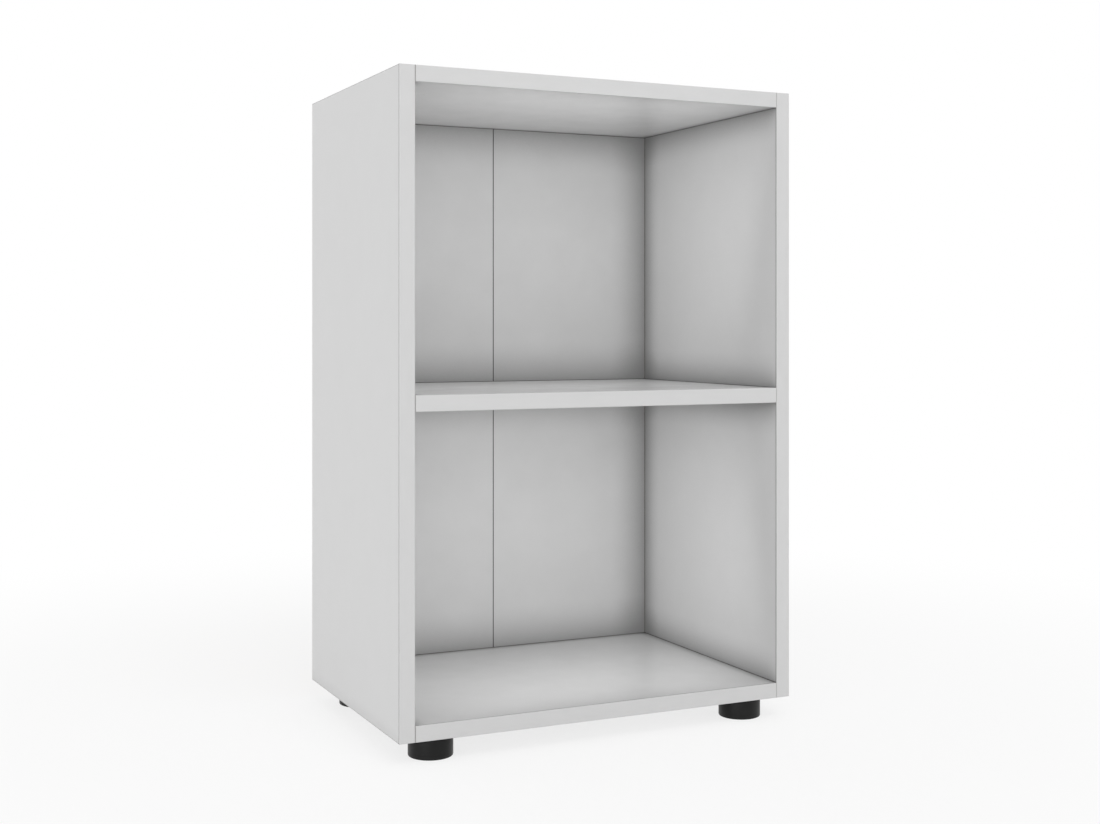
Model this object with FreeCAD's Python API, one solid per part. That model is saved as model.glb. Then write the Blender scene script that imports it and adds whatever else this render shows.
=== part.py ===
import FreeCAD, Part
import math
import os

# Desktop file shelf: an open flat-pack cabinet with two compartments for upright files.
# Millimetres. The origin is the middle of the footprint on the floor, +Z is up, the open front
# faces -Y and the right-hand side is at +X.

# Carcass
CARCASS_WIDTH = 495.0
CARCASS_HEIGHT = 725.0
CARCASS_DEPTH = 327.0
BOARD = 18.0
LOWER_CLEAR_HEIGHT = 335.5

# Edge bands
FRONT_BAND = 2.0
FRONT_BAND_ROUND = 1.0
END_BAND = 1.0
END_BAND_ROUND = 0.5
GLUE_LINE = 0.3

# Back, two leaves that fold about a tape on the rear
BACK = 3.0
BACK_INSET = 2.0
SEAM_BEVEL = 0.5
TAPE = 0.2
TAPE_WIDTH = 40.0

# Back nails
NAIL_DIAMETER = 1.6
NAIL_LENGTH = 25.0
NAIL_HEAD_DIAMETER = 4.0
NAIL_HEAD = 0.8
NAILS_PER_SIDE = 5
NAILS_PER_HALF_BOARD = 2
NAIL_END_MARGIN = 45.0
NAIL_SEAM_MARGIN = 60.0

# Cam locks
CAM_DIAMETER = 14.8
CAM_RECESS = 1.0
CAM_FLOOR = 1.0
CAM_JAW = 1.9
CAM_ECCENTRICITY = 0.6
CAM_SETBACK = 34.0
CAM_EDGE_INSET = 85.0
CAM_SLOT_START = -40.0
CAM_SLOT_SWEEP = 220.0
CAM_ENTRY_SWEEP = 70.0
CAM_DRIVE_LENGTH = 9.0
CAM_DRIVE_WIDTH = 1.8
CAM_DRIVE_DEPTH = 3.0
CAM_RIM_CHAMFER = 0.4
CAM_BORE_END_GAP = 0.4

# Cam bolts
BOLT_THREAD_DIAMETER = 5.0
BOLT_THREAD_LENGTH = 11.0
BOLT_COLLAR_DIAMETER = 7.6
BOLT_COLLAR = 1.6
BOLT_SHANK_DIAMETER = 4.4
BOLT_HEAD_DIAMETER = 6.4
BOLT_HEAD = 3.0
BOLT_END_GAP = 0.5

# Cover caps of the top's cam locks
CAP_STEM_DEPTH = 2.0

# Dowels
DOWEL_DIAMETER = 8.0
DOWEL_LENGTH = 30.0
DOWEL_IN_SIDE = 10.0
DOWEL_CHAMFER = 1.0
DOWEL_FROM_CAM = 32.0
DOWEL_END_GAP = 0.8

# Feet
FOOT_DIAMETER = 50.0
FOOT_HEIGHT = 25.0
FOOT_CHAMFER = 1.5
FOOT_WALL = 2.5
FOOT_SOLE = 4.0
FOOT_BOSS_DIAMETER = 19.0
FOOT_RIB = 2.0
FOOT_RIB_COUNT = 6
FOOT_SIDE_INSET = 48.5
FOOT_FRONT_INSET = 35.0
FOOT_REAR_INSET = 42.0

# Levelling studs, turned in threaded inserts
STUD_DIAMETER = 8.0
STUD_CHAMFER = 1.0
STUD_HEAD_DIAMETER = 14.0
STUD_HEAD = 4.0
STUD_HEAD_RECESS = 1.5
STUD_END_GAP = 1.0
INSERT_LENGTH = 13.0
INSERT_BARB_DIAMETER = 12.0
INSERT_BARB_DEPTH = 0.5
INSERT_BARB_COUNT = 3
INSERT_FLANGE_DIAMETER = 16.0
INSERT_FLANGE = 1.0
INSERT_END_GAP = 0.5

# Clearances, on the radius or on one side
FIT = 0.1
CLOSE_FIT = 0.05
CAM_PLAY = 0.3

# Places that follow from the sizes above
HALF_WIDTH = CARCASS_WIDTH / 2
INNER_HALF = HALF_WIDTH - BOARD
FRONT = -(CARCASS_DEPTH + BACK + NAIL_HEAD) / 2
BOARD_FRONT = FRONT + FRONT_BAND
REAR = FRONT + CARCASS_DEPTH
BACK_FACE = REAR + BACK
BASE = FOOT_HEIGHT
CROWN = BASE + CARCASS_HEIGHT
LEVELS = {
    "bottom_panel": BASE,
    "middle_shelf": BASE + BOARD + LOWER_CLEAR_HEIGHT,
    "top_panel": CROWN - BOARD,
}
FITTING_NAMES = {"bottom_panel": "bottom", "middle_shelf": "shelf", "top_panel": "top"}
SIDES = {"left": -1, "right": 1}
CAM_ROWS = (FRONT + CAM_EDGE_INSET, REAR - CAM_EDGE_INSET)
DOWEL_ROWS = (CAM_ROWS[0] + DOWEL_FROM_CAM, CAM_ROWS[1] - DOWEL_FROM_CAM)
FOOT_ROWS = {"front": FRONT + FOOT_FRONT_INSET, "rear": REAR - FOOT_REAR_INSET}
FOOT_X = HALF_WIDTH - FOOT_SIDE_INSET

# The bolt's axis runs through the middle of the board, and the cam's cavity is centred on it
CAM_AXIS_HEIGHT = BOARD / 2 - CAM_RECESS
CAM_CAVITY_HEIGHT = BOLT_HEAD_DIAMETER + 2 * CAM_PLAY
CAM_CAVITY_RADIUS = CAM_DIAMETER / 2 - CAM_JAW - CAM_ECCENTRICITY
CAM_LENGTH = CAM_AXIS_HEIGHT + CAM_CAVITY_HEIGHT / 2 + CAM_FLOOR
HEAD_HALF_CHORD = math.sqrt(CAM_CAVITY_RADIUS**2 - (BOLT_HEAD_DIAMETER / 2) ** 2)

ORIGIN = FreeCAD.Vector(0, 0, 0)
UP = FreeCAD.Vector(0, 0, 1)
FORWARD = FreeCAD.Vector(0, -1, 0)
TOUCH = 1e-6


def block(x, y, z):
    """A box between two x, two y and two z values, given in either order."""
    low = FreeCAD.Vector(min(x), min(y), min(z))
    return Part.makeBox(max(x) - low.x, max(y) - low.y, max(z) - low.z, low)


def rod(diameter, length, start, direction):
    """A plain cylinder from a start point along a direction."""
    return Part.makeCylinder(diameter / 2, length, start, direction)


def turned(outline, start, direction):
    """A solid of revolution from a closed outline of (radius, height) corners."""
    corners = [FreeCAD.Vector(radius, 0, height) for radius, height in outline]
    profile = Part.Face(Part.makePolygon(corners + corners[:1]))
    solid = profile.revolve(ORIGIN, UP, 360)
    solid.Placement = FreeCAD.Placement(start, FreeCAD.Rotation(UP, direction))
    return solid


def edges_on(shape, **planes):
    """The straight edges of a shape that lie in the given planes, such as y=-10.0."""
    found = []
    for edge in shape.Edges:
        ends = [vertex.Point for vertex in edge.Vertexes]
        if all(abs(getattr(p, axis) - at) < TOUCH for p in ends for axis, at in planes.items()):
            found.append(edge)
    return found


def spaced(first, last, count):
    """Evenly spaced values from the first to the last."""
    step = (last - first) / (count - 1)
    return [first + step * i for i in range(count)]


def drilled(board, holes):
    """A board with its holes cut."""
    return board.cut(Part.makeCompound(holes)).Solids[0]


def out_of(side):
    """The direction from the inside of the cabinet out through one side."""
    return FreeCAD.Vector(SIDES[side], 0, 0)


# Edge bands

def front_band(x, z, ends_rounded):
    """A band on a front edge, with rounded front arrises and a fine line at the glue joint."""
    strip = block(x, (FRONT, BOARD_FRONT), z)
    upright = max(z) - min(z) > max(x) - min(x)
    across, limits = ("x", x) if upright else ("z", z)
    arrises = [e for at in limits for e in edges_on(strip, y=FRONT, **{across: at})]
    if ends_rounded:
        arrises = edges_on(strip, y=FRONT)
    strip = strip.makeFillet(FRONT_BAND_ROUND, arrises)
    joint = [e for at in limits for e in edges_on(strip, y=BOARD_FRONT, **{across: at})]
    return strip.makeChamfer(GLUE_LINE, joint)


def end_band(side, z_board, z_outer):
    """A band on the top or bottom end of a side, behind the front band."""
    x = (SIDES[side] * INNER_HALF, SIDES[side] * HALF_WIDTH)
    strip = block(x, (BOARD_FRONT, REAR), (z_board, z_outer))
    arrises = [e for at in x for e in edges_on(strip, z=z_outer, x=at)]
    return strip.makeFillet(END_BAND_ROUND, arrises)


# Fittings

def cam_lock():
    """A cam at the origin: its driven end at z = 0, with the bolt entering along +X."""
    radius = CAM_DIAMETER / 2
    body = Part.makeCylinder(radius, CAM_LENGTH)
    rims = [e for e in body.Edges if abs(e.CenterOfMass.z) < TOUCH and e.Closed]
    body = body.makeChamfer(CAM_RIM_CHAMFER, rims)
    head_low = FreeCAD.Vector(0, 0, CAM_AXIS_HEIGHT - CAM_CAVITY_HEIGHT / 2)
    cavity_low = head_low - FreeCAD.Vector(CAM_ECCENTRICITY, 0, 0)
    cavity = Part.makeCylinder(CAM_CAVITY_RADIUS, CAM_CAVITY_HEIGHT, cavity_low)
    slot_height = BOLT_SHANK_DIAMETER + 2 * CAM_PLAY
    slot_low = FreeCAD.Vector(0, 0, CAM_AXIS_HEIGHT - slot_height / 2)
    slot = Part.makeCylinder(CAM_DIAMETER, slot_height, slot_low, UP, CAM_SLOT_SWEEP)
    slot.rotate(ORIGIN, UP, CAM_SLOT_START)
    entry = Part.makeCylinder(CAM_DIAMETER, CAM_CAVITY_HEIGHT, head_low, UP, CAM_ENTRY_SWEEP)
    entry.rotate(ORIGIN, UP, CAM_SLOT_START + CAM_SLOT_SWEEP)
    return body.cut([cavity, slot, entry, drive_cross(0, CAM_DRIVE_DEPTH)]).Solids[0]


def drive_cross(gap, depth):
    """The cross that a screwdriver turns, from z = 0 upwards, smaller by a gap on each side."""
    half_length = CAM_DRIVE_LENGTH / 2 - gap
    half_width = CAM_DRIVE_WIDTH / 2 - gap
    along = block((-half_length, half_length), (-half_width, half_width), (0, depth))
    across = block((-half_width, half_width), (-half_length, half_length), (0, depth))
    return along.fuse(across).removeSplitter()


def cam_cap():
    """A cap under a cam at the origin, flush with the board, whose stem plugs into the drive cross."""
    disc = Part.makeCylinder(CAM_DIAMETER / 2, CAM_RECESS, FreeCAD.Vector(0, 0, -CAM_RECESS))
    return disc.fuse(drive_cross(FIT, CAP_STEM_DEPTH)).removeSplitter().Solids[0]


def cam_bolt(start, inward):
    """A bolt whose collar seats on a side's inner face and whose coned head is held by the cam."""
    thread = BOLT_THREAD_DIAMETER / 2
    collar = BOLT_COLLAR_DIAMETER / 2
    shank = BOLT_SHANK_DIAMETER / 2
    head = BOLT_HEAD_DIAMETER / 2
    head_shoulder = CAM_SETBACK + CAM_ECCENTRICITY - HEAD_HALF_CHORD + FIT
    head_cone = head - shank
    outline = [
        (0, -BOLT_THREAD_LENGTH),
        (thread, -BOLT_THREAD_LENGTH),
        (thread, 0),
        (collar, 0),
        (collar, BOLT_COLLAR),
        (shank, BOLT_COLLAR),
        (shank, head_shoulder - head_cone),
        (head, head_shoulder),
        (head, head_shoulder + BOLT_HEAD - head_cone),
        (0, head_shoulder + BOLT_HEAD - head_cone),
    ]
    return turned(outline, start, inward)


def dowel(start, inward):
    """A dowel half in a side and half in a board's end."""
    radius = DOWEL_DIAMETER / 2
    low = -DOWEL_IN_SIDE
    high = DOWEL_LENGTH - DOWEL_IN_SIDE
    outline = [
        (0, low),
        (radius - DOWEL_CHAMFER, low),
        (radius, low + DOWEL_CHAMFER),
        (radius, high - DOWEL_CHAMFER),
        (radius - DOWEL_CHAMFER, high),
        (0, high),
    ]
    return turned(outline, start, inward)


def nail(x, z):
    """A back nail, driven in until its head lies on the back."""
    head = NAIL_HEAD_DIAMETER / 2
    shank = NAIL_DIAMETER / 2
    outline = [
        (0, -NAIL_HEAD),
        (head, -NAIL_HEAD),
        (head, 0),
        (shank, 0),
        (shank, NAIL_LENGTH),
        (0, NAIL_LENGTH),
    ]
    return turned(outline, FreeCAD.Vector(x, BACK_FACE, z), FORWARD)


def joint_points(rows):
    """Where fittings cross into the boards: (board, side, point on the side's inner face)."""
    points = []
    for board, underside in LEVELS.items():
        for side, sign in SIDES.items():
            for y in rows:
                points.append((board, side, FreeCAD.Vector(sign * INNER_HALF, y, underside + BOARD / 2)))
    return points


def cam_points(board):
    """Where a board's cam locks stand, at their driven ends: (side, point)."""
    points = []
    for side, sign in SIDES.items():
        for y in CAM_ROWS:
            x = sign * (INNER_HALF - CAM_SETBACK)
            points.append((side, FreeCAD.Vector(x, y, LEVELS[board] + CAM_RECESS)))
    return points


def nail_points():
    """The (x, z) places of the nails, along the middle of each rear edge."""
    points = []
    along_side = spaced(BASE + NAIL_END_MARGIN, CROWN - NAIL_END_MARGIN, NAILS_PER_SIDE)
    along_half = spaced(NAIL_SEAM_MARGIN, INNER_HALF - NAIL_END_MARGIN, NAILS_PER_HALF_BOARD)
    for sign in SIDES.values():
        points += [(sign * (HALF_WIDTH - BOARD / 2), z) for z in along_side]
        points += [(sign * x, z + BOARD / 2) for z in LEVELS.values() for x in along_half]
    return points


def nail_holes(margin):
    """Holes for the nails' shanks, from the rear face of the back to past their points."""
    diameter = NAIL_DIAMETER + 2 * margin
    return [
        rod(diameter, NAIL_LENGTH + margin, FreeCAD.Vector(x, BACK_FACE, z), FORWARD)
        for x, z in nail_points()
    ]


# Boards

def side_panel(side):
    """A side with blind holes for its bolts and dowels on the inner face, and for nails at the rear."""
    x = (SIDES[side] * INNER_HALF, SIDES[side] * HALF_WIDTH)
    board = block(x, (BOARD_FRONT, REAR), (BASE + END_BAND, CROWN - END_BAND))
    holes = nail_holes(CLOSE_FIT)
    for _, at, point in joint_points(CAM_ROWS):
        if at == side:
            depth = BOLT_THREAD_LENGTH + BOLT_END_GAP
            holes.append(rod(BOLT_THREAD_DIAMETER + 2 * FIT, depth, point, out_of(side)))
    for _, at, point in joint_points(DOWEL_ROWS):
        if at == side:
            depth = DOWEL_IN_SIDE + DOWEL_END_GAP
            holes.append(rod(DOWEL_DIAMETER + 2 * FIT, depth, point, out_of(side)))
    return drilled(board, holes)


def level_board(name):
    """A board between the sides: cam bores in its underside, bolt and dowel bores in its ends."""
    underside = LEVELS[name]
    board = block((-INNER_HALF, INNER_HALF), (BOARD_FRONT, REAR), (underside, underside + BOARD))
    holes = nail_holes(CLOSE_FIT)
    for _, point in cam_points(name):
        start = FreeCAD.Vector(point.x, point.y, underside)
        depth = CAM_RECESS + CAM_LENGTH + CAM_BORE_END_GAP
        holes.append(rod(CAM_DIAMETER + 2 * FIT, depth, start, UP))
    for at, side, point in joint_points(CAM_ROWS):
        if at == name:
            holes.append(rod(BOLT_COLLAR_DIAMETER + 2 * FIT, CAM_SETBACK, point, -out_of(side)))
    for at, side, point in joint_points(DOWEL_ROWS):
        if at == name:
            depth = DOWEL_LENGTH - DOWEL_IN_SIDE + DOWEL_END_GAP
            holes.append(rod(DOWEL_DIAMETER + 2 * FIT, depth, point, -out_of(side)))
    if name == "bottom_panel":
        for x, y in foot_axes().values():
            start = FreeCAD.Vector(x, y, underside)
            holes.append(rod(INSERT_BARB_DIAMETER + 2 * FIT, INSERT_LENGTH + INSERT_END_GAP, start, UP))
            holes.append(rod(INSERT_FLANGE_DIAMETER + 2 * FIT, INSERT_FLANGE, start, UP))
    return drilled(board, holes)


# Back

def back_leaf(side):
    """One leaf of the back, bevelled on the front of its seam edge and pierced by its nails."""
    x = (0, SIDES[side] * (HALF_WIDTH - BACK_INSET))
    leaf = block(x, (REAR, BACK_FACE), (BASE + BACK_INSET, CROWN - BACK_INSET))
    leaf = leaf.makeChamfer(SEAM_BEVEL, edges_on(leaf, x=0, y=REAR))
    return drilled(leaf, nail_holes(CLOSE_FIT))


def fold_tape():
    """The tape on the rear that joins the two leaves."""
    half = TAPE_WIDTH / 2
    return block((-half, half), (BACK_FACE, BACK_FACE + TAPE), (BASE + BACK_INSET, CROWN - BACK_INSET))


# Feet

def foot_axes():
    """The (x, y) of each foot's axis, by name."""
    return {
        f"{row}_{side}": (sign * FOOT_X, y)
        for row, y in FOOT_ROWS.items()
        for side, sign in SIDES.items()
    }


def foot(x, y):
    """A moulded foot, open at the top: an outer wall, a boss for the stud and ribs between them."""
    radius = FOOT_DIAMETER / 2
    pocket = STUD_HEAD_DIAMETER / 2 + CLOSE_FIT
    pocket_height = STUD_HEAD_RECESS + STUD_HEAD
    bore = STUD_DIAMETER / 2 + CLOSE_FIT
    outline = [
        (pocket, 0),
        (radius - FOOT_CHAMFER, 0),
        (radius, FOOT_CHAMFER),
        (radius, FOOT_HEIGHT),
        (bore, FOOT_HEIGHT),
        (bore, pocket_height),
        (pocket, pocket_height),
    ]
    body = turned(outline, ORIGIN, UP)
    depth = FOOT_HEIGHT - FOOT_SOLE
    floor = FreeCAD.Vector(0, 0, FOOT_SOLE)
    hollow = Part.makeCylinder(radius - FOOT_WALL, depth, floor)
    ribs = [Part.makeCylinder(FOOT_BOSS_DIAMETER / 2, depth, floor)]
    for i in range(FOOT_RIB_COUNT):
        rib = block((0, radius), (-FOOT_RIB / 2, FOOT_RIB / 2), (FOOT_SOLE, FOOT_HEIGHT))
        rib.rotate(ORIGIN, UP, 360 / FOOT_RIB_COUNT * i)
        ribs.append(rib)
    body = body.cut(hollow.cut(ribs)).Solids[0]
    body.translate(FreeCAD.Vector(x, y, 0))
    return body


def foot_stud(x, y):
    """A round-headed stud that runs up through the foot into its insert."""
    radius = STUD_DIAMETER / 2
    head = STUD_HEAD_DIAMETER / 2
    end = BASE + INSERT_LENGTH - STUD_END_GAP - STUD_HEAD_RECESS
    outline = [
        (0, 0),
        (head, 0),
        (head, STUD_HEAD),
        (radius, STUD_HEAD),
        (radius, end - STUD_CHAMFER),
        (radius - STUD_CHAMFER, end),
        (0, end),
    ]
    return turned(outline, FreeCAD.Vector(x, y, STUD_HEAD_RECESS), UP)


def foot_insert(x, y):
    """A flanged sleeve with barbs, pressed into the underside of the bottom panel."""
    bore = STUD_DIAMETER / 2 + CLOSE_FIT
    flange = INSERT_FLANGE_DIAMETER / 2
    barb = INSERT_BARB_DIAMETER / 2
    root = barb - INSERT_BARB_DEPTH
    pitch = (INSERT_LENGTH - INSERT_FLANGE) / INSERT_BARB_COUNT
    outline = [(bore, 0), (flange, 0), (flange, INSERT_FLANGE)]
    for i in range(INSERT_BARB_COUNT):
        low = INSERT_FLANGE + pitch * i
        outline += [(barb, low), (root, low + pitch)]
    outline.append((bore, INSERT_LENGTH))
    return turned(outline, FreeCAD.Vector(x, y, BASE), UP)


# Assembly

def side_nodes():
    """The two sides with their bands."""
    nodes = {}
    for side, sign in SIDES.items():
        x = (sign * INNER_HALF, sign * HALF_WIDTH)
        nodes[f"{side}_side_panel"] = side_panel(side)
        nodes[f"{side}_side_front_band"] = front_band(x, (BASE, CROWN), True)
        nodes[f"{side}_side_top_band"] = end_band(side, CROWN - END_BAND, CROWN)
        nodes[f"{side}_side_bottom_band"] = end_band(side, BASE + END_BAND, BASE)
    return nodes


def board_nodes():
    """The boards between the sides with their front bands and fittings."""
    nodes = {}
    for name, underside in LEVELS.items():
        nodes[name] = level_board(name)
        nodes[f"{name}_front_band"] = front_band(
            (-INNER_HALF, INNER_HALF), (underside, underside + BOARD), False
        )
        cams = [placed_on(cam_lock(), side, point) for side, point in cam_points(name)]
        bolts = [cam_bolt(p, -out_of(side)) for at, side, p in joint_points(CAM_ROWS) if at == name]
        dowels = [dowel(p, -out_of(side)) for at, side, p in joint_points(DOWEL_ROWS) if at == name]
        fitting = FITTING_NAMES[name]
        nodes[f"{fitting}_cam_locks"] = Part.makeCompound(cams)
        nodes[f"{fitting}_cam_bolts"] = Part.makeCompound(bolts)
        nodes[f"{fitting}_dowels"] = Part.makeCompound(dowels)
    caps = [placed_on(cam_cap(), side, point) for side, point in cam_points("top_panel")]
    nodes["top_cam_caps"] = Part.makeCompound(caps)
    return nodes


def placed_on(fitting, side, point):
    """A cam or cap made at the origin, turned to face its side and moved to its place."""
    facing = FreeCAD.Rotation(UP, 0 if SIDES[side] > 0 else 180)
    fitting.Placement = FreeCAD.Placement(point, facing)
    return fitting


def back_nodes():
    """The back's two leaves, the tape on their seam and the nails."""
    return {
        "back_left_leaf": back_leaf("left"),
        "back_right_leaf": back_leaf("right"),
        "back_fold_tape": fold_tape(),
        "back_nails": Part.makeCompound([nail(x, z) for x, z in nail_points()]),
    }


def foot_nodes():
    """The four feet with their studs, and the inserts as one group."""
    nodes = {}
    for name, (x, y) in foot_axes().items():
        nodes[f"{name}_foot"] = foot(x, y)
        nodes[f"{name}_foot_stud"] = foot_stud(x, y)
    inserts = [foot_insert(x, y) for x, y in foot_axes().values()]
    nodes["foot_inserts"] = Part.makeCompound(inserts)
    return nodes


os.makedirs("parts", exist_ok=True)
for node, shape in {**side_nodes(), **board_nodes(), **back_nodes(), **foot_nodes()}.items():
    shape.exportStep(f"parts/{node}.step")
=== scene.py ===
"""Looks of the desktop file shelf, an open cabinet of light grey melamine board with two compartments.

The boards, bands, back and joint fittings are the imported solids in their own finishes. The four feet and
their levelling studs are modelled here, because a rounded moulding and a cut thread need real geometry.
"""

import logging
import math
from dataclasses import dataclass
from enum import Enum
from typing import Any, Optional, Union

import bmesh
import bpy
from mathutils import Matrix, Vector


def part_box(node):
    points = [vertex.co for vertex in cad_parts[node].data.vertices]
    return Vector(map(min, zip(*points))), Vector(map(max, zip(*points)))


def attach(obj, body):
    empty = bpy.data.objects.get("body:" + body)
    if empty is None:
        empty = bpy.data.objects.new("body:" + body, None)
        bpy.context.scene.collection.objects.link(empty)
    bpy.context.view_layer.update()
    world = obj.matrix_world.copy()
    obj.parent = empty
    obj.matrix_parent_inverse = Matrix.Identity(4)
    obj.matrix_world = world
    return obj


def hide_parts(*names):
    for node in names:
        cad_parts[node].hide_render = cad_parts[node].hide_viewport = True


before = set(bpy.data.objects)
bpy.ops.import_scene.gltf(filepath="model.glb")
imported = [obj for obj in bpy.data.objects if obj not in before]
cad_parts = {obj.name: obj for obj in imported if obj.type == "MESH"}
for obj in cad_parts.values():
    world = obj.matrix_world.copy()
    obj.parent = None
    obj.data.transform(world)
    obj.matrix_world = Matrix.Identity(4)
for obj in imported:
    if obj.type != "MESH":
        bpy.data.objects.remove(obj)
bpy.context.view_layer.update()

MM = 0.001
WHITE = (1.0, 1.0, 1.0, 1.0)
# A wave texture of scale 1 turns by this many radians in a metre.
WAVE_TURN = 20.0
# A noise texture lies mostly between these values.
NOISE_LOW = 0.3
NOISE_HIGH = 0.7
# An occlusion node gives about these values deep in a corner and on an open face.
CORNER_LIGHT = 0.42
OPEN_LIGHT = 0.96
OCCLUSION_RAYS = 8
# A Mix node's sockets for colours go by number, because its sockets for plain values share their names.
MIX_SHARE = 0
MIX_FROM = 6
MIX_TO = 7
MIX_RESULT = 2
# Points this close are one point, in millimetres, and a cut goes through points this close to it.
SAME_POINT = 0.01
CUT_SLACK = 0.001
# A mask takes in what lies this close to a face, in millimetres.
FACE_SLACK = 0.1
# An inset starts this wide, in millimetres, and is then scaled to its size.
FIRST_INSET = 0.1

Tree = bpy.types.NodeTree
Node = bpy.types.Node
Socket = bpy.types.NodeSocket
Material = bpy.types.Material
Mesh = bmesh.types.BMesh
Vert = bmesh.types.BMVert
Edge = bmesh.types.BMEdge
Face = bmesh.types.BMFace
Inputs = dict[Union[str, int], Any]
Colour = tuple[float, float, float, float]
Point = tuple[float, float, float]

log = logging.getLogger("file_shelf")


class Axis(Enum):
    """The direction a band runs in, or the one a glue line is measured along."""

    X = "X"
    Y = "Y"
    Z = "Z"


class Lie(Enum):
    """How a board lies in the carcass."""

    LEVEL = "level"
    UPRIGHT = "upright"


class Corner(Enum):
    """Where a foot stands under the bottom panel."""

    FRONT_LEFT = "front_left"
    FRONT_RIGHT = "front_right"
    REAR_LEFT = "rear_left"
    REAR_RIGHT = "rear_right"


def linear(colour: str) -> Colour:
    """Turns an sRGB colour to linear light.

    Args:
        colour: the colour as #RRGGBB.

    Returns:
        Red, green and blue in linear light, and an alpha of 1.
    """
    parts = (int(colour[i:i + 2], 16) / 255 for i in (1, 3, 5))
    red, green, blue = (c / 12.92 if c <= 0.04045 else ((c + 0.055) / 1.055) ** 2.4 for c in parts)
    return red, green, blue, 1.0


def per_metre(size: float) -> float:
    """Gives the pattern scale at which one feature is size millimetres wide."""
    return 1.0 / (size * MM)


def add_node(tree: Tree, kind: str, inputs: Optional[Inputs] = None, **settings: Any) -> Node:
    """Adds a node with its settings and links.

    Args:
        tree: the node tree it goes into.
        kind: the node's type name.
        inputs: a value or a socket to link for each input, by name or number.
        settings: the node's own properties.

    Returns:
        The new node.
    """
    node = tree.nodes.new(kind)
    for name, value in settings.items():
        setattr(node, name, value)
    for key, value in (inputs or {}).items():
        if isinstance(value, Socket):
            tree.links.new(value, node.inputs[key])
        else:
            node.inputs[key].default_value = value
    return node


@dataclass(frozen=True)
class BoardPlan:
    """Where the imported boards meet, in metres, as masks and lamps need it."""

    # Half the clear width between the sides.
    clear_half: float
    # The front, rear, lower and upper edges of the sides, under their bands.
    front: float
    rear: float
    low: float
    high: float
    # The middle and half the thickness of each level board, from the top down.
    levels: tuple[tuple[float, float], ...]

    @classmethod
    def from_frame(cls) -> "BoardPlan":
        """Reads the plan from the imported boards.

        Returns:
            The plan.
        """
        side_low, side_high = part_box("left_side_panel")
        boards = (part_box(name) for name in ("top_panel", "middle_shelf", "bottom_panel"))
        levels = tuple(((low.z + high.z) / 2, (high.z - low.z) / 2) for low, high in boards)
        return cls(-side_high.x, side_low.y, side_high.y, side_low.z, side_high.z, levels)

    def compartments(self) -> tuple[float, float]:
        """Gives the heights of the upper and the lower compartment's middle."""
        top, shelf, bottom = (middle for middle, _ in self.levels)
        return (top + shelf) / 2, (shelf + bottom) / 2

    def at_sides(self, tree: Tree, spot: Node, width: float) -> Socket:
        """Finds the ends of what lies between the sides.

        Args:
            tree: the material's node tree.
            spot: the place on the piece, split in X, Y and Z.
            width: how far from the sides' inner faces the ends reach, in metres.

        Returns:
            1 within that width and beyond, and 0 between the sides.
        """
        across = add_node(tree, "ShaderNodeMath", {0: spot.outputs["X"]}, operation="ABSOLUTE")
        return add_node(tree, "ShaderNodeMath", {
            0: across.outputs[0],
            1: self.clear_half - width,
        }, operation="GREATER_THAN").outputs[0]

    def at_rear(self, tree: Tree, spot: Node, width: float) -> Socket:
        """Finds the boards' rear edges.

        Args:
            tree: the material's node tree.
            spot: the place on the piece, split in X, Y and Z.
            width: how far from the rear edges they reach, in metres.

        Returns:
            1 within that width, and 0 in front of it.
        """
        return add_node(tree, "ShaderNodeMath", {
            0: spot.outputs["Y"],
            1: self.rear - width,
        }, operation="GREATER_THAN").outputs[0]

    def at_levels(self, tree: Tree, spot: Node, width: float) -> Socket:
        """Finds where the level boards butt.

        Args:
            tree: the material's node tree.
            spot: the place on the piece, split in X, Y and Z.
            width: how far from the boards' faces the butts reach, in metres.

        Returns:
            1 within that width of a level board, and 0 in the compartments.
        """
        butts = [add_node(tree, "ShaderNodeMath", {
            0: spot.outputs["Z"],
            1: middle,
            2: half + width,
        }, operation="COMPARE").outputs[0] for middle, half in self.levels]
        found = butts[0]
        for butt in butts[1:]:
            found = add_node(tree, "ShaderNodeMath", {0: found, 1: butt}, operation="MAXIMUM").outputs[0]
        return found


# Finishes


@dataclass(frozen=True, kw_only=True)
class Finish:
    """What every finish has: the name of the real material, and how it reflects.

    An IOR of 1.5 is typical of melamine, lacquer and moulded plastic, and a metal keeps it as the default.
    A satin finish's roughness stays on one side of 0.27, where the denoiser would outline its patches.
    """

    name: str
    roughness: float
    metallic: float = 0.0
    ior: float = 1.5
    specular: float = 0.5

    def material(self) -> Material:
        """Makes the material.

        Returns:
            A material with one Principled shader, whose varying sockets come from surface().
        """
        material = bpy.data.materials.new(self.name)
        material.use_nodes = True
        tree = material.node_tree
        tree.nodes.clear()
        place = add_node(tree, "ShaderNodeTexCoord").outputs["Object"]
        inputs: Inputs = {
            "Metallic": self.metallic,
            "IOR": self.ior,
            "Specular IOR Level": self.specular,
        }
        inputs.update(self.surface(tree, place))
        shader = add_node(tree, "ShaderNodeBsdfPrincipled", inputs)
        add_node(tree, "ShaderNodeOutputMaterial", {"Surface": shader.outputs["BSDF"]})
        return material

    def glossed(self, tree: Tree, noise: Socket, change: float) -> Socket:
        """Lets the roughness vary with a noise.

        Args:
            tree: the material's node tree.
            noise: the noise.
            change: how far the roughness goes each way.

        Returns:
            The roughness.
        """
        return add_node(tree, "ShaderNodeMapRange", {
            "Value": noise,
            "From Min": NOISE_LOW,
            "From Max": NOISE_HIGH,
            "To Min": self.roughness - change,
            "To Max": self.roughness + change,
        }).outputs[0]

    def surface(self, tree: Tree, place: Socket) -> Inputs:
        """Gives the shader inputs that change over the surface.

        Args:
            tree: the material's node tree.
            place: Object coordinates, in metres.

        Returns:
            Sockets for the base colour, the roughness and the normal.
        """
        raise NotImplementedError


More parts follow.
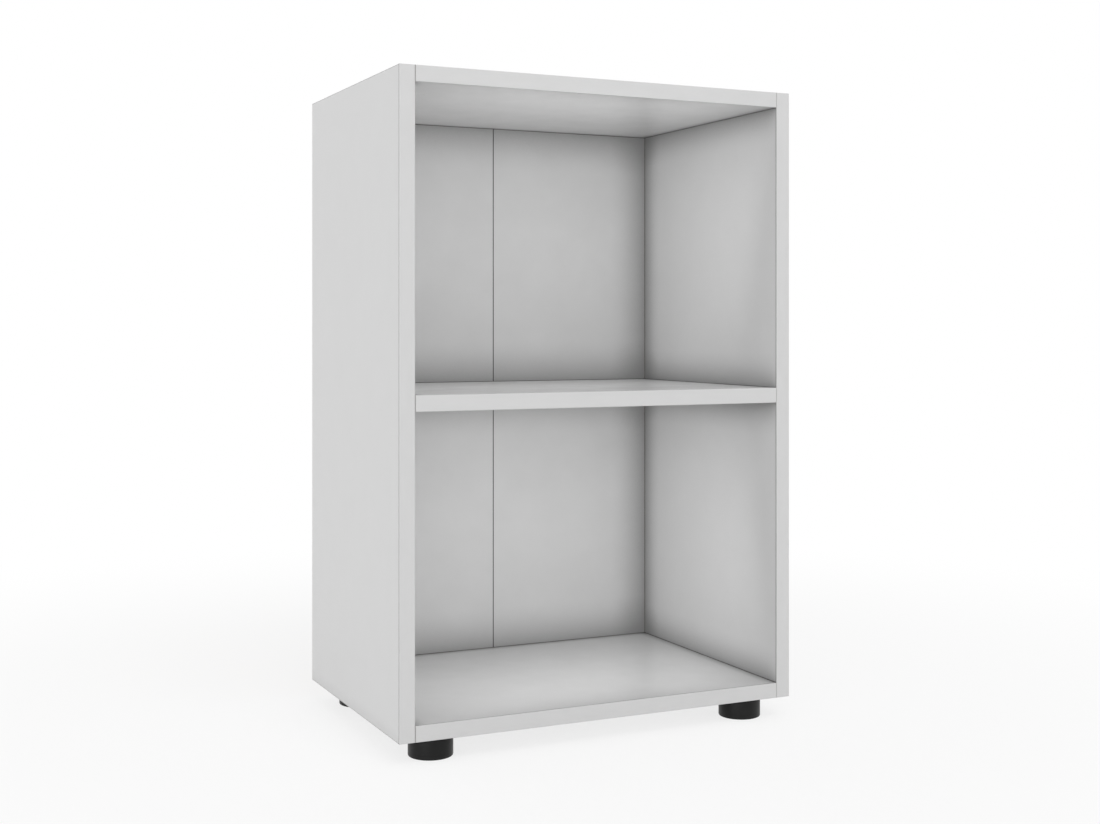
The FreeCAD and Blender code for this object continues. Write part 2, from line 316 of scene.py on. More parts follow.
@dataclass(frozen=True, kw_only=True)
class BoardFinish(Finish):
    """A finish of boards that meet: painted shade in their corners, with a hairline at each joint.

    Widths are in millimetres. A closed joint is about 0.2 mm wide. It is drawn coarser, so that it shows.
    """

    plan: BoardPlan
    # How far the painted corner shade reaches, in millimetres, and its colour deep in a corner.
    painted_shade_reach: float
    corner: str = "#949494"
    joint: str = "#5C5B59"
    joint_width: float = 0.6

    def painted_corner_shade(self, tree: Tree, colour: Socket) -> Socket:
        """Darkens a colour where boards meet: painted shade in the corners, from an occlusion node.

        Args:
            tree: the material's node tree.
            colour: the clean surface's colour.

        Returns:
            The colour with its painted corner shade.
        """
        nook = add_node(tree, "ShaderNodeAmbientOcclusion", {
            "Distance": self.painted_shade_reach * MM,
        }, samples=OCCLUSION_RAYS)
        openness = add_node(tree, "ShaderNodeMapRange", {
            "Value": nook.outputs["AO"],
            "From Min": CORNER_LIGHT,
            "From Max": OPEN_LIGHT,
        })
        mixed = add_node(tree, "ShaderNodeMix", {
            MIX_SHARE: openness.outputs[0],
            MIX_FROM: linear(self.corner),
            MIX_TO: colour,
        }, data_type="RGBA")
        return mixed.outputs[MIX_RESULT]


@dataclass(frozen=True, kw_only=True)
class MelamineBoard(BoardFinish):
    """Decor paper pressed on chipboard between steel plates: satin, faintly cloudy, with a fine pearl.

    The eye sees an even light grey with soft clouds a few centimetres wide and small lighter specks. The
    rear edges have no band, so the brown chips of the core show there.
    """

    lie: Lie
    cloud_light: str = "#DBDBDB"
    cloud_dark: str = "#D6D6D6"
    cloud_width: float = 40.0
    gloss_change: float = 0.015
    speck: str = "#E2E2E2"
    speck_width: float = 2.6
    # A speck starts and is full at these values of the noise, and covers this share of the paper's tone.
    speck_start: float = 0.68
    speck_full: float = 0.8
    speck_share: float = 0.5
    pearl_width: float = 1.6
    pearl_depth: float = 0.02
    pearl_strength: float = 0.12
    chip_light: str = "#C6A472"
    chip_dark: str = "#8A6840"
    chip_width: float = 2.5
    # How much rougher the raw core is than the paper.
    core_roughness: float = 0.5

    def surface(self, tree: Tree, place: Socket) -> Inputs:
        """Gives cloudy paper on the faces, hairlines at the joints, and raw chipboard on the rear edge.

        Args:
            tree: the material's node tree.
            place: Object coordinates, in metres.

        Returns:
            Sockets for the base colour, the roughness and the normal.
        """
        cloud = add_node(tree, "ShaderNodeTexNoise", {
            "Vector": place,
            "Scale": per_metre(self.cloud_width),
            "Detail": 3.0,
        })
        spot = add_node(tree, "ShaderNodeSeparateXYZ", {"Vector": place})
        raw = self.plan.at_rear(tree, spot, FACE_SLACK * MM)
        # Painted shade darkens the paper in the corners.
        colour = self.painted_corner_shade(tree, self.paper(tree, place, cloud.outputs[0]))
        line = self.hairline(tree, spot)
        for mask, layer in ((line, linear(self.joint)), (raw, self.core(tree, place))):
            colour = add_node(tree, "ShaderNodeMix", {
                MIX_SHARE: mask,
                MIX_FROM: colour,
                MIX_TO: layer,
            }, data_type="RGBA").outputs[MIX_RESULT]
        rough = add_node(tree, "ShaderNodeMath", {
            0: raw,
            1: self.core_roughness,
            2: self.glossed(tree, cloud.outputs[0], self.gloss_change),
        }, operation="MULTIPLY_ADD")
        pearl = add_node(tree, "ShaderNodeTexNoise", {
            "Vector": place,
            "Scale": per_metre(self.pearl_width),
            "Detail": 2.0,
        })
        bump = add_node(tree, "ShaderNodeBump", {
            "Strength": self.pearl_strength,
            "Distance": self.pearl_depth * MM,
            "Height": pearl.outputs[0],
        })
        return {
            "Base Color": colour,
            "Roughness": rough.outputs[0],
            "Normal": bump.outputs[0],
        }

    def paper(self, tree: Tree, place: Socket, cloud: Socket) -> Socket:
        """Gives the printed paper's colour: soft clouds, with specks on them.

        Args:
            tree: the material's node tree.
            place: Object coordinates, in metres.
            cloud: the clouds' noise.

        Returns:
            The colour.
        """
        clouded = add_node(tree, "ShaderNodeMix", {
            MIX_SHARE: cloud,
            MIX_FROM: linear(self.cloud_dark),
            MIX_TO: linear(self.cloud_light),
        }, data_type="RGBA")
        grain = add_node(tree, "ShaderNodeTexNoise", {
            "Vector": place,
            "Scale": per_metre(self.speck_width),
            "Detail": 1.0,
        })
        speck = add_node(tree, "ShaderNodeMapRange", {
            "Value": grain.outputs[0],
            "From Min": self.speck_start,
            "From Max": self.speck_full,
            "To Max": self.speck_share,
        })
        specked = add_node(tree, "ShaderNodeMix", {
            MIX_SHARE: speck.outputs[0],
            MIX_FROM: clouded.outputs[MIX_RESULT],
            MIX_TO: linear(self.speck),
        }, data_type="RGBA")
        return specked.outputs[MIX_RESULT]

    def core(self, tree: Tree, place: Socket) -> Socket:
        """Gives the raw core's colour: pressed chips, as random cells about as wide as a chip.

        Args:
            tree: the material's node tree.
            place: Object coordinates, in metres.

        Returns:
            The colour.
        """
        cells = add_node(tree, "ShaderNodeTexVoronoi", {
            "Vector": place,
            "Scale": per_metre(self.chip_width),
            "Randomness": 1.0,
        })
        chips = add_node(tree, "ShaderNodeMix", {
            MIX_SHARE: cells.outputs["Color"],
            MIX_FROM: linear(self.chip_dark),
            MIX_TO: linear(self.chip_light),
        }, data_type="RGBA")
        return chips.outputs[MIX_RESULT]

    def hairline(self, tree: Tree, spot: Node) -> Socket:
        """Finds the joints: a level board's ends and rear, or the butts and rear inside an upright one.

        Args:
            tree: the material's node tree.
            spot: the place on the board, split in X, Y and Z.

        Returns:
            1 on a joint, and 0 elsewhere.
        """
        width = self.joint_width * MM
        rear = self.plan.at_rear(tree, spot, width)
        if self.lie is Lie.LEVEL:
            ends = self.plan.at_sides(tree, spot, width)
            return add_node(tree, "ShaderNodeMath", {0: rear, 1: ends}, operation="MAXIMUM").outputs[0]
        butts = self.plan.at_levels(tree, spot, width)
        either = add_node(tree, "ShaderNodeMath", {0: rear, 1: butts}, operation="MAXIMUM")
        outside = self.plan.at_sides(tree, spot, -FACE_SLACK * MM)
        line = add_node(tree, "ShaderNodeMath", {
            0: either.outputs[0],
            1: outside,
        }, operation="SUBTRACT", use_clamp=True)
        return line.outputs[0]


@dataclass(frozen=True, kw_only=True)
class EdgeBand(Finish):
    """Extruded ABS edge band, milled and scraped after gluing.

    The eye sees faint streaks along the band, a thin dark glue line where it meets the board, and a fine
    line where a level band ends at the sides. Widths are in millimetres.
    """

    roughness: float = 0.33
    gloss_change: float = 0.03
    run: Axis
    glue_axis: Axis = Axis.Y
    glue_at: float
    glue: str = "#514F4C"
    # Half the line's width. A glue line is about 0.2 mm wide, and is drawn coarser here, so that it shows.
    glue_half: float = 1.1
    streak_light: str = "#D6D6D6"
    streak_dark: str = "#D2D2D2"
    streak_width: float = 9.0
    streak_length: float = 30.0
    streak_depth: float = 0.006
    streak_strength: float = 0.15
    joint: str = "#A3A2A0"
    joint_half: float = 0.6
    # How far from the middle the band ends, in metres. A band without such ends has them off the shelf.
    ends_at: float = 1.0

    def surface(self, tree: Tree, place: Socket) -> Inputs:
        """Gives streaks along the run, the glue line and the lines at the band's ends.

        Args:
            tree: the material's node tree.
            place: Object coordinates, in metres.

        Returns:
            Sockets for the base colour, the roughness and the normal.
        """
        squeeze = [1.0, 1.0, 1.0]
        squeeze["XYZ".index(self.run.value)] = self.streak_width / self.streak_length
        drawn = add_node(tree, "ShaderNodeMapping", {"Vector": place, "Scale": squeeze})
        streak = add_node(tree, "ShaderNodeTexNoise", {
            "Vector": drawn.outputs[0],
            "Scale": per_metre(self.streak_width),
            "Detail": 1.0,
        })
        tone = add_node(tree, "ShaderNodeMix", {
            MIX_SHARE: streak.outputs[0],
            MIX_FROM: linear(self.streak_dark),
            MIX_TO: linear(self.streak_light),
        }, data_type="RGBA")
        spot = add_node(tree, "ShaderNodeSeparateXYZ", {"Vector": place})
        across = add_node(tree, "ShaderNodeMath", {0: spot.outputs["X"]}, operation="ABSOLUTE")
        end = add_node(tree, "ShaderNodeMath", {
            0: across.outputs[0],
            1: self.ends_at,
            2: self.joint_half * MM,
        }, operation="COMPARE")
        glued = add_node(tree, "ShaderNodeMath", {
            0: spot.outputs[self.glue_axis.value],
            1: self.glue_at,
            2: self.glue_half * MM,
        }, operation="COMPARE")
        colour = tone.outputs[MIX_RESULT]
        for mask, layer in ((end, self.joint), (glued, self.glue)):
            colour = add_node(tree, "ShaderNodeMix", {
                MIX_SHARE: mask.outputs[0],
                MIX_FROM: colour,
                MIX_TO: linear(layer),
            }, data_type="RGBA").outputs[MIX_RESULT]
        bump = add_node(tree, "ShaderNodeBump", {
            "Strength": self.streak_strength,
            "Distance": self.streak_depth * MM,
            "Height": streak.outputs[0],
        })
        return {
            "Base Color": colour,
            "Roughness": self.glossed(tree, streak.outputs[0], self.gloss_change),
            "Normal": bump.outputs[0],
        }


@dataclass(frozen=True, kw_only=True)
class Hardboard(BoardFinish):
    """Wet-pressed hardboard, roller-lacquered on one face.

    The eye sees cloudy grey lacquer in front with a seam at mid width, painted dark as shade in its
    groove, and brown felted fibre behind, which the wire screen of the press has marked.
    """

    roughness: float = 0.38
    lacquer_light: str = "#D6D6D6"
    lacquer_dark: str = "#CDCDCD"
    cloud_width: float = 45.0
    fibre_light: str = "#AC8963"
    fibre_dark: str = "#80603F"
    fibre_width: float = 1.8
    fibre_length: float = 4.0
    # The fibres' lean from upright in degrees, and their roughness.
    fibre_lean: float = 35.0
    fibre_roughness: float = 0.7
    # The wire screen's mark is about 1.5 mm apart. It is drawn coarser here, so that it shows.
    screen_pitch: float = 2.6
    screen_depth: float = 0.12
    screen_strength: float = 0.6
    screen_shade: str = "#6B4E31"
    screen_share: float = 0.45
    # The seam's broken edges are bare fibre, painted dark grey as shade in the groove.
    seam_shade: str = "#363432"
    seam_depth: float = 0.8
    # Half the dark line's width. It is drawn 0.1 mm past the broken edges, so that it shows.
    seam_half: float = 0.6

    def surface(self, tree: Tree, place: Socket) -> Inputs:
        """Gives lacquer on the front face and fibre everywhere else.

        Args:
            tree: the material's node tree.
            place: Object coordinates, in metres.

        Returns:
            Sockets for the base colour, the roughness and the normal.
        """
        spot = add_node(tree, "ShaderNodeSeparateXYZ", {"Vector": place})
        front = add_node(tree, "ShaderNodeMath", {
            0: spot.outputs["Y"],
            1: self.plan.rear,
            2: FACE_SLACK * MM,
        }, operation="COMPARE")
        screen = self.screen(tree, place)
        colour = add_node(tree, "ShaderNodeMix", {
            MIX_SHARE: front.outputs[0],
            MIX_FROM: self.bare(tree, place, spot, screen),
            MIX_TO: self.lacquered(tree, place, spot),
        }, data_type="RGBA")
        rough = add_node(tree, "ShaderNodeMapRange", {
            "Value": front.outputs[0],
            "To Min": self.fibre_roughness,
            "To Max": self.roughness,
        })
        behind = add_node(tree, "ShaderNodeMath", {0: 1.0, 1: front.outputs[0]}, operation="SUBTRACT")
        marked = add_node(tree, "ShaderNodeMath", {0: screen, 1: behind.outputs[0]}, operation="MULTIPLY")
        bump = add_node(tree, "ShaderNodeBump", {
            "Strength": self.screen_strength,
            "Distance": self.screen_depth * MM,
            "Height": marked.outputs[0],
        })
        return {
            "Base Color": colour.outputs[MIX_RESULT],
            "Roughness": rough.outputs[0],
            "Normal": bump.outputs[0],
        }

    def lacquered(self, tree: Tree, place: Socket, spot: Node) -> Socket:
        """Gives the front face's colour: clouds, painted shade in the corners, hairlines round the leaves,
        and the seam.

        Args:
            tree: the material's node tree.
            place: Object coordinates, in metres.
            spot: the same place, split in X, Y and Z.

        Returns:
            The colour.
        """
        cloud = add_node(tree, "ShaderNodeTexNoise", {
            "Vector": place,
            "Scale": per_metre(self.cloud_width),
            "Detail": 3.0,
        })
        lacquer = add_node(tree, "ShaderNodeMix", {
            MIX_SHARE: cloud.outputs[0],
            MIX_FROM: linear(self.lacquer_dark),
            MIX_TO: linear(self.lacquer_light),
        }, data_type="RGBA")
        width = self.joint_width * MM
        line = add_node(tree, "ShaderNodeMath", {
            0: self.plan.at_sides(tree, spot, width),
            1: self.plan.at_levels(tree, spot, width),
        }, operation="MAXIMUM")
        # A strip at mid width, painted dark as shade in the seam's groove.
        middle = add_node(tree, "ShaderNodeMath", {
            0: spot.outputs["X"],
            1: 0.0,
            2: self.seam_half * MM,
        }, operation="COMPARE")
        # Painted shade darkens the lacquer in the corners.
        colour = self.painted_corner_shade(tree, lacquer.outputs[MIX_RESULT])
        for mask, layer in ((line, self.joint), (middle, self.seam_shade)):
            colour = add_node(tree, "ShaderNodeMix", {
                MIX_SHARE: mask.outputs[0],
                MIX_FROM: colour,
                MIX_TO: linear(layer),
            }, data_type="RGBA").outputs[MIX_RESULT]
        return colour

    def bare(self, tree: Tree, place: Socket, spot: Node, screen: Socket) -> Socket:
        """Gives the bare board's colour: brown fibre, darker in the screen's hollows, and painted shade in
        the seam.

        Args:
            tree: the material's node tree.
            place: Object coordinates, in metres.
            spot: the same place, split in X, Y and Z.
            screen: the screen's mark, 1 on its humps.

        Returns:
            The colour.
        """
        felted = add_node(tree, "ShaderNodeMapping", {
            "Vector": place,
            "Rotation": (0.0, math.radians(self.fibre_lean), 0.0),
            "Scale": (1.0, 1.0, self.fibre_width / self.fibre_length),
        })
        fibre = add_node(tree, "ShaderNodeTexNoise", {
            "Vector": felted.outputs[0],
            "Scale": per_metre(self.fibre_width),
            "Detail": 5.0,
            "Roughness": 0.65,
            "Distortion": 0.6,
        })
        brown = add_node(tree, "ShaderNodeMix", {
            MIX_SHARE: fibre.outputs[0],
            MIX_FROM: linear(self.fibre_dark),
            MIX_TO: linear(self.fibre_light),
        }, data_type="RGBA")
        hollow = add_node(tree, "ShaderNodeMapRange", {
            "Value": screen,
            "To Min": self.screen_share,
            "To Max": 0.0,
        })
        # Painted shade along the front of the edges, in the seam's groove.
        groove = add_node(tree, "ShaderNodeMath", {
            0: spot.outputs["Y"],
            1: self.plan.rear + self.seam_depth * MM,
        }, operation="LESS_THAN")
        colour = brown.outputs[MIX_RESULT]
        for mask, layer in ((hollow, self.screen_shade), (groove, self.seam_shade)):
            colour = add_node(tree, "ShaderNodeMix", {
                MIX_SHARE: mask.outputs[0],
                MIX_FROM: colour,
                MIX_TO: linear(layer),
            }, data_type="RGBA").outputs[MIX_RESULT]
        return colour

    def screen(self, tree: Tree, place: Socket) -> Socket:
        """Gives the mark of the press's wire screen: crossed waves.

        Args:
            tree: the material's node tree.
            place: Object coordinates, in metres.

        Returns:
            1 on the humps between the wires, and 0 in the hollows that they press.
        """
        scale = per_metre(self.screen_pitch) * math.tau / WAVE_TURN
        warp, weft = (add_node(tree, "ShaderNodeTexWave", {
            "Vector": place,
            "Scale": scale,
        }, bands_direction=direction) for direction in ("X", "Z"))
        crossed = add_node(tree, "ShaderNodeMath", {
            0: warp.outputs["Fac"],
            1: weft.outputs["Fac"],
        }, operation="MULTIPLY")
        return crossed.outputs[0]


@dataclass(frozen=True, kw_only=True)
class Mottled(Finish):
    """A finish whose tone, gloss and grain vary a little: moulded, plated, cast, turned or paper surfaces.

    Widths are in millimetres. A stretch below 1 draws the pattern out along that axis.
    """

    colour: str
    other: str
    patch_width: float
    grain_width: float
    grain_depth: float
    grain_strength: float = 0.5
    gloss_change: float = 0.08
    stretch: Point = (1.0, 1.0, 1.0)

    def surface(self, tree: Tree, place: Socket) -> Inputs:
        """Gives soft patches between the two colours, and a fine grain.

        Args:
            tree: the material's node tree.
            place: Object coordinates, in metres.

        Returns:
            Sockets for the base colour, the roughness and the normal.
        """
        drawn = add_node(tree, "ShaderNodeMapping", {"Vector": place, "Scale": self.stretch})
        patch = add_node(tree, "ShaderNodeTexNoise", {
            "Vector": drawn.outputs[0],
            "Scale": per_metre(self.patch_width),
            "Detail": 4.0,
        })
        colour = add_node(tree, "ShaderNodeMix", {
            MIX_SHARE: patch.outputs[0],
            MIX_FROM: linear(self.colour),
            MIX_TO: linear(self.other),
        }, data_type="RGBA")
        grain = add_node(tree, "ShaderNodeTexNoise", {
            "Vector": drawn.outputs[0],
            "Scale": per_metre(self.grain_width),
            "Detail": 2.0,
        })
        bump = add_node(tree, "ShaderNodeBump", {
            "Strength": self.grain_strength,
            "Distance": self.grain_depth * MM,
            "Height": grain.outputs[0],
        })
        return {
            "Base Color": colour.outputs[MIX_RESULT],
            "Roughness": self.glossed(tree, patch.outputs[0], self.gloss_change),
            "Normal": bump.outputs[0],
        }


class Finishes:
    """Every finish of the shelf, made once and shared by the pieces."""

    def __init__(self, plan: BoardPlan) -> None:
        """Makes the materials.

        Args:
            plan: where the boards meet, for the glue lines and masks.
        """
        # Melamine-faced chipboard: satin light grey. The level boards have a slightly clearer sheen.
        self.side_board = MelamineBoard(
            name="melamine_chipboard_side", roughness=0.31, plan=plan, lie=Lie.UPRIGHT,
            painted_shade_reach=42.0).material()
        self.level_board = MelamineBoard(
            name="melamine_chipboard_level", roughness=0.25, plan=plan, lie=Lie.LEVEL,
            painted_shade_reach=16.0).material()
        # ABS bands in the same grey, streaked along the edge. On the 1 mm end bands the glue line is finer.
        self.level_band = EdgeBand(
            name="abs_edge_band_level", run=Axis.X, glue_at=plan.front, ends_at=plan.clear_half).material()
        self.upright_band = EdgeBand(
            name="abs_edge_band_upright", run=Axis.Z, glue_at=plan.front).material()
        self.top_end_band = EdgeBand(
            name="abs_edge_band_top_end", run=Axis.Y, glue_axis=Axis.Z, glue_at=plan.high,
            glue_half=0.2).material()
        self.bottom_end_band = EdgeBand(
            name="abs_edge_band_bottom_end", run=Axis.Y, glue_axis=Axis.Z, glue_at=plan.low,
            glue_half=0.2).material()
        # Hardboard: cloudy grey lacquer in front, brown fibre behind.
        self.hardboard = Hardboard(
            name="hardboard_lacquered_one_face", plan=plan, painted_shade_reach=55.0).material()
        # Gummed paper tape: matt, off-white, with fibre flecks.
        self.tape = Mottled(
            name="gummed_paper_tape", roughness=0.75, colour="#CFC6B4", other="#DDD6C8", patch_width=9.0,
            grain_width=0.8, grain_depth=0.03).material()
        # Bright drawn wire nails: plain steel, dulled in patches by handling.
        self.nail = Mottled(
            name="steel_drawn_wire", roughness=0.36, metallic=1.0, colour="#9C9A96", other="#C2C0BB",
            patch_width=3.0, grain_width=0.5, grain_depth=0.01).material()
        # Die-cast zinc cams: grey, satin, with the soft flow marks of the casting.
        self.cam = Mottled(
            name="zinc_die_cast", roughness=0.42, metallic=1.0, colour="#8E9094", other="#B2B4B8",
            patch_width=4.0, grain_width=0.7, grain_depth=0.03).material()
        # Zinc-plated turned steel: bright, slightly blue, with a fine plating grain.
        self.plated = Mottled(
            name="steel_turned_zinc_plated", roughness=0.34, metallic=1.0, colour="#A9B0B8", other="#CDD3D9",
            patch_width=4.0, grain_width=0.4, grain_depth=0.008, gloss_change=0.05).material()
        # Turned beech: pale pink brown, with the grain along the dowel.
        self.beech = Mottled(
            name="beech_turned", roughness=0.55, colour="#C79E6E", other="#DDBB8F", patch_width=2.0,
            grain_width=0.8, grain_depth=0.04, stretch=(0.12, 1.0, 1.0)).material()
        # Moulded cover caps in the board's grey: satin, very fine grain.
        self.cap = Mottled(
            name="polypropylene_moulded_grey", roughness=0.25, colour="#D5D5D5", other="#DCDCDC",
            patch_width=12.0, grain_width=1.6, grain_depth=0.01, gloss_change=0.015).material()
        # Black polypropylene feet: nearly black, a spark-eroded fine grain, edges that catch a little light.
        self.foot = Mottled(
            name="polypropylene_moulded_black", roughness=0.42, specular=0.25, colour="#0D0D0D",
            other="#171717", patch_width=14.0, grain_width=0.5, grain_depth=0.02,
            gloss_change=0.05).material()
        # Nylon inserts: milky off-white, slightly waxy.
        self.insert = Mottled(
            name="nylon_moulded", roughness=0.45, colour="#D8D3C6", other="#E4E0D6", patch_width=6.0,
            grain_width=0.6, grain_depth=0.02).material()


def dress(material: Material, *nodes: str) -> None:
    """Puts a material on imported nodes.

    Args:
        material: the finish.
        nodes: the nodes' names.
    """
    for name in nodes:
        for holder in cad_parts[name].material_slots:
            holder.material = material
        log.info("%s: %s", name, material.name)


# Sub-assemblies


@dataclass
class Carcass:
    """Two sides, top, bottom and shelf, with their edge bands."""

    sides: tuple[str, ...] = ("left_side", "right_side")
    levels: tuple[str, ...] = ("top_panel", "bottom_panel", "middle_shelf")

    def dress(self, finishes: Finishes) -> None:
        """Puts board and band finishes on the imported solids.

        Args:
            finishes: the shelf's materials.
        """
        dress(finishes.side_board, *(f"{side}_panel" for side in self.sides))
        dress(finishes.level_board, *self.levels)
        dress(finishes.level_band, *(f"{level}_front_band" for level in self.levels))
        dress(finishes.upright_band, *(f"{side}_front_band" for side in self.sides))
        dress(finishes.top_end_band, *(f"{side}_top_band" for side in self.sides))
        dress(finishes.bottom_end_band, *(f"{side}_bottom_band" for side in self.sides))


@dataclass
class FoldedBack:
    """The back in two leaves, the tape that hinges them, and the nails."""

    leaves: tuple[str, ...] = ("back_left_leaf", "back_right_leaf")

    def dress(self, finishes: Finishes) -> None:
        """Puts hardboard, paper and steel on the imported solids.

        Args:
            finishes: the shelf's materials.
        """
        dress(finishes.hardboard, *self.leaves)
        dress(finishes.tape, "back_fold_tape")
        dress(finishes.nail, "back_nails")


@dataclass
class JointFittings:
    """Cam locks, bolts, dowels and caps in the board ends, and the inserts over the feet."""

    boards: tuple[str, ...] = ("top", "shelf", "bottom")

    def dress(self, finishes: Finishes) -> None:
        """Puts zinc, plated steel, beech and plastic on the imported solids.

        Args:
            finishes: the shelf's materials.
        """
        dress(finishes.cam, *(f"{board}_cam_locks" for board in self.boards))
        dress(finishes.plated, *(f"{board}_cam_bolts" for board in self.boards))
        dress(finishes.beech, *(f"{board}_dowels" for board in self.boards))
        dress(finishes.cap, "top_cam_caps")
        dress(finishes.insert, "foot_inserts")


def make_piece(name: str, mesh: Mesh, material: Material, sharp: float) -> bpy.types.Object:
    """Turns a finished bmesh to a piece of the shelf.

    Args:
        name: the piece's name.
        mesh: the shape, in metres, in place. It is freed.
        material: the piece's finish.
        sharp: edges that turn more than this many degrees stay crisp.

    Returns:
        The object, at the origin.
    """
    bmesh.ops.recalc_face_normals(mesh, faces=mesh.faces)
    data = bpy.data.meshes.new(name)
    mesh.to_mesh(data)
    mesh.free()
    data.materials.append(material)
    data.shade_smooth()
    data.set_sharp_from_angle(angle=math.radians(sharp))
    piece = bpy.data.objects.new(name, data)
    bpy.context.scene.collection.objects.link(piece)
    log.info("%s: %d faces", name, len(data.polygons))
    return piece


@dataclass
class LevellingFoot:
    """A moulded foot with ribs inside, and the threaded stud that it turns on.

    Sizes are in millimetres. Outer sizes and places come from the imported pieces.
    """

    corner: Corner
    # The moulding
    wall: float = 2.5
    sole: float = 4.0
    boss_radius: float = 9.5
    bore_radius: float = 4.05
    pocket_radius: float = 7.05
    pocket_depth: float = 5.5
    ribs: int = 6
    sides: int = 96
    sole_round: float = 1.7
    sole_steps: int = 6
    rim_round: float = 0.4
    rim_steps: int = 3
    foot_sharp: float = 32.0
    # The stud
    head_radius: float = 7.0
    head_height: float = 4.0
    head_sides: int = 48
    head_round: float = 0.5
    head_steps: int = 3
    thread_radius: float = 4.0
    thread_root: float = 3.35
    thread_pitch: float = 1.25
    thread_steps: int = 36
    # Half the flat at the root and at the crest, in shares of the pitch
    root_flat: float = 0.12
    crest_flat: float = 0.06
    stud_sharp: float = 40.0

    @property
    def foot_node(self) -> str:
        """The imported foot's name."""
        return f"{self.corner.value}_foot"

    @property
    def stud_node(self) -> str:
        """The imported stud's name."""
        return f"{self.corner.value}_foot_stud"

    def build(self, finishes: Finishes) -> None:
        """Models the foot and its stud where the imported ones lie.

        Args:
            finishes: the shelf's materials.
        """
        foot = make_piece(
            f"{self.corner.value}_moulded_foot", self.foot_mesh(), finishes.foot, self.foot_sharp)
        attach(foot, self.foot_node)
        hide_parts(self.foot_node)
        stud = make_piece(
            f"{self.corner.value}_threaded_stud", self.stud_mesh(), finishes.plated, self.stud_sharp)
        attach(stud, f"{self.corner.value}_stud")
        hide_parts(self.stud_node)

    def foot_mesh(self) -> Mesh:
        """Models the moulding: a cup with a boss, ribs between them, and a pocket for the stud's head.

        Returns:
            The foot in place, in metres.
        """
        low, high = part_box(self.foot_node)
        radius = (high.x - low.x) / 2
        height = high.z - low.z
        mesh = bmesh.new()
        bmesh.ops.create_circle(mesh, cap_ends=True, segments=self.sides, radius=radius)
        raised = bmesh.ops.extrude_face_region(mesh, geom=list(mesh.faces))
        bmesh.ops.translate(mesh, vec=(0, 0, height), verts=self.verts_in(raised["geom"]))
        top = max(mesh.faces, key=lambda face: face.calc_center_median().z)
        bottom = min(mesh.faces, key=lambda face: face.calc_center_median().z)

        # The cup is open above, and the ring between wall and boss sinks to the sole except on the ribs.
        self.shrink(mesh, top, radius - self.wall * MM)
        ring = self.shrink(mesh, top, self.boss_radius * MM)
        self.shrink(mesh, top, self.bore_radius * MM)
        hollows = [face for face in ring if not self.is_rib(face)]
        sunk = bmesh.ops.extrude_face_region(mesh, geom=hollows)
        bmesh.ops.translate(mesh, vec=(0, 0, self.sole * MM - height), verts=self.verts_in(sunk["geom"]))
        bmesh.ops.delete(mesh, geom=hollows, context="FACES")

        # The head's pocket from below and the bore from above meet.
        self.shrink(mesh, bottom, self.pocket_radius * MM)
        self.push(mesh, bottom, self.pocket_depth * MM)
        self.shrink(mesh, bottom, self.bore_radius * MM)
        self.push(mesh, top, self.pocket_depth * MM - height)
        bmesh.ops.delete(mesh, geom=[top, bottom], context="FACES_ONLY")
        bmesh.ops.remove_doubles(mesh, verts=mesh.verts, dist=SAME_POINT * MM)
        bmesh.ops.recalc_face_normals(mesh, faces=mesh.faces)

        rounds = ((0.0, self.sole_round, self.sole_steps), (height, self.rim_round, self.rim_steps))
        for level, size, steps in rounds:
            rim = [edge for edge in mesh.edges if self.on_rim(edge, radius, level)]
            bmesh.ops.bevel(
                mesh, geom=rim, offset=size * MM, segments=steps, profile=0.5, affect="EDGES", material=-1)
        centre = (low + high) / 2
        bmesh.ops.translate(mesh, vec=(centre.x, centre.y, low.z), verts=mesh.verts)
        return mesh

    @staticmethod
    def verts_in(geometry: list[Union[Vert, Edge, Face]]) -> list[Vert]:
        """Picks the vertices out of an operator's result."""
        return [item for item in geometry if isinstance(item, Vert)]

    @staticmethod
    def shrink(mesh: Mesh, face: Face, radius: float) -> list[Face]:
        """Insets a round face to a smaller radius.

        Args:
            mesh: the shape.
            face: the round face, centred on the axis. It becomes the inner one.
            radius: its new radius in metres.

        Returns:
            The faces of the ring round it.
        """
        ring = bmesh.ops.inset_region(mesh, faces=[face], thickness=FIRST_INSET * MM, use_even_offset=True)
        ratio = radius / face.verts[0].co.xy.length
        bmesh.ops.scale(mesh, vec=(ratio, ratio, 1.0), verts=face.verts)
        return ring["faces"]

    @staticmethod
    def push(mesh: Mesh, face: Face, distance: float) -> None:
        """Sinks a round face along the axis, with a wall round it.

        Args:
            mesh: the shape.
            face: the face, which becomes the far one.
            distance: how far it goes up, in metres.
        """
        bmesh.ops.inset_region(mesh, faces=[face], thickness=0.0, use_even_offset=True)
        bmesh.ops.translate(mesh, vec=(0, 0, distance), verts=face.verts)

    def is_rib(self, face: Face) -> bool:
        """Tells whether a face of the ring between wall and boss is the top of a rib, two faces wide.

        Args:
            face: the ring's face.

        Returns:
            Whether it stays up.
        """
        spot = face.calc_center_median()
        turn = math.atan2(spot.y, spot.x) / math.tau * self.ribs
        return abs(turn - round(turn)) < self.ribs / self.sides

    @staticmethod
    def on_rim(edge: Edge, radius: float, level: float) -> bool:
        """Tells whether an edge lies on the outer rim.

        Args:
            edge: the edge.
            radius: the rim's radius in metres.
            level: its height in metres.

        Returns:
            Whether both ends lie there.
        """
        close = SAME_POINT * MM
        return all(
            abs(vert.co.z - level) < close and abs(vert.co.xy.length - radius) < close
            for vert in edge.verts)

    def stud_mesh(self) -> Mesh:
        """Models the stud: a round head and a real single-start thread.

        Returns:
            The stud in place, in metres.
        """
        low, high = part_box(self.stud_node)
        shape = bmesh.new()
        self.add_thread(shape, high.z - low.z)
        self.add_head(shape)
        centre = (low + high) / 2
        bmesh.ops.translate(shape, vec=(centre.x, centre.y, low.z), verts=shape.verts)
        return shape

